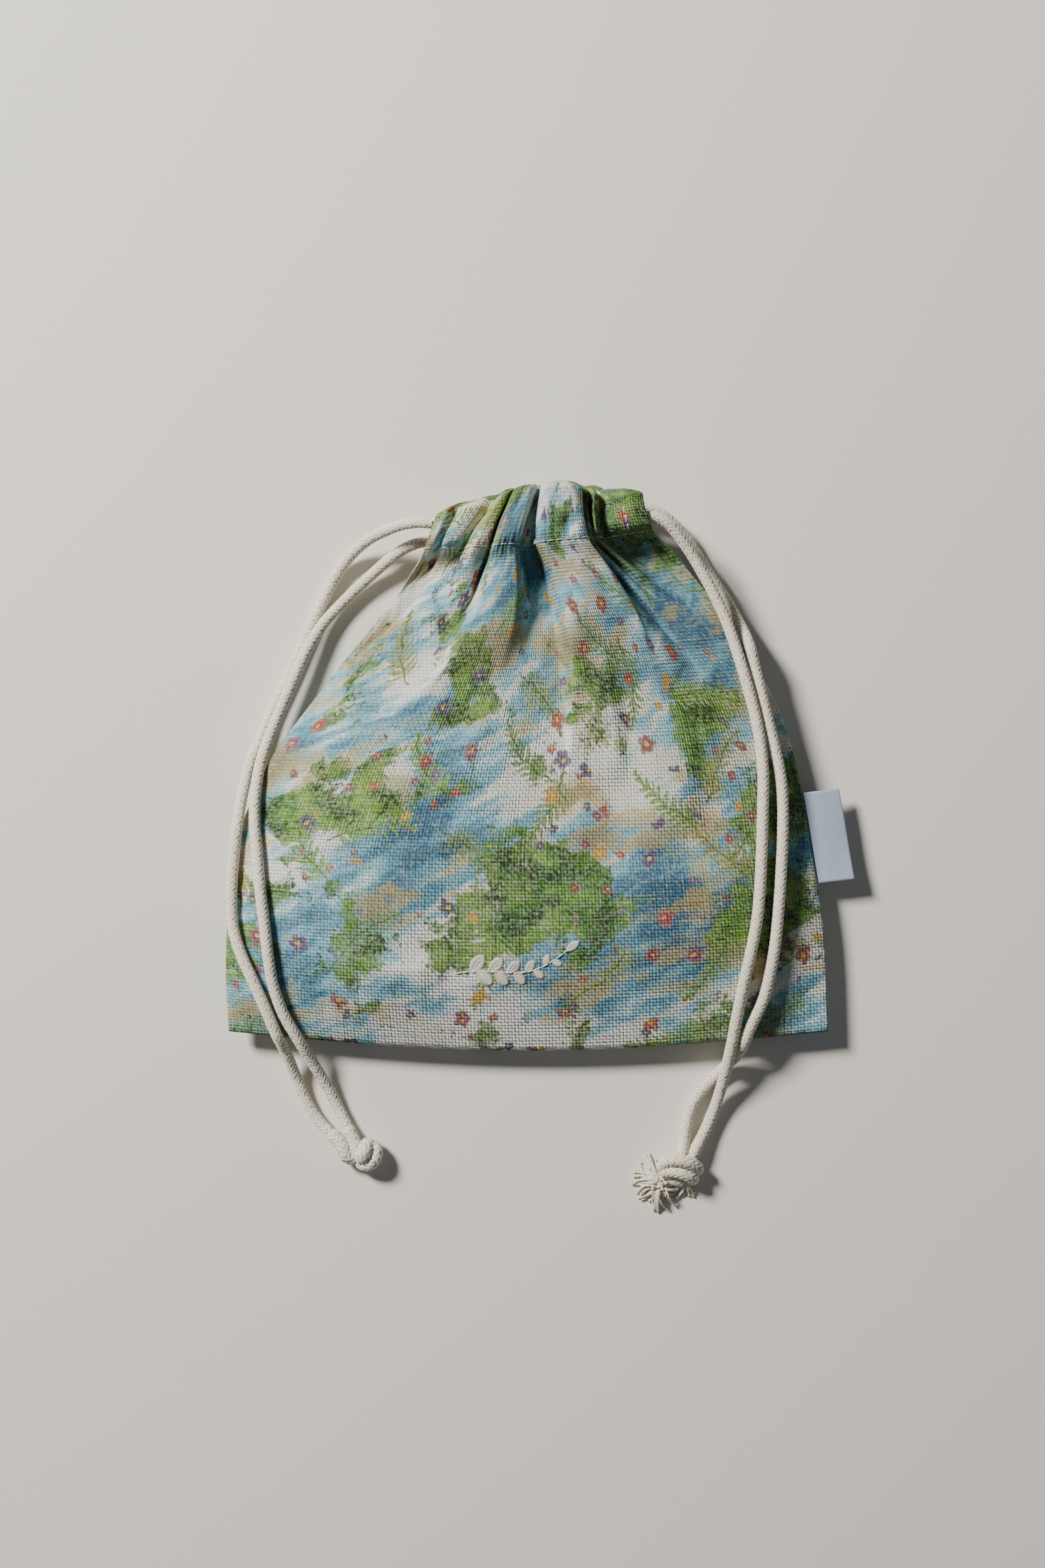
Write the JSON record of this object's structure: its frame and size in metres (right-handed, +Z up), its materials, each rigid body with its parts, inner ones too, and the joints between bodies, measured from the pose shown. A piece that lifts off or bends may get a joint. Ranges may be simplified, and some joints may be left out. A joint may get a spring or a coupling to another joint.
{
  "type": "kinchaku drawstring pouch",
  "caption": "Flat canvas drawstring pouch with a gathered mouth, cords through its casings, knotted at both sides, and a seam label.",
  "frame": {"origin": "middle of the pouch's rectangle on the table, label included and cords left out, at the height of the table", "axes": "+X along the mouth from the left cord to the right cord, +Y from the bottom seam to the mouth, +Z up from the table"},
  "size_m": [0.2146, 0.2509, 0.0349],
  "materials": {
    "canvas": "printed plain-weave cotton canvas",
    "cord": "natural braided cotton",
    "label": "satin ribbon"
  },
  "bodies": {
    "root": {"front_panel": "canvas", "back_panel": "canvas", "side_label": "label", "left_cord": "cord", "right_cord": "cord", "left_knot": "cord", "right_knot": "cord", "right_frayed_end_long": "cord", "right_frayed_end_short": "cord"}
  },
  "joints": []
}
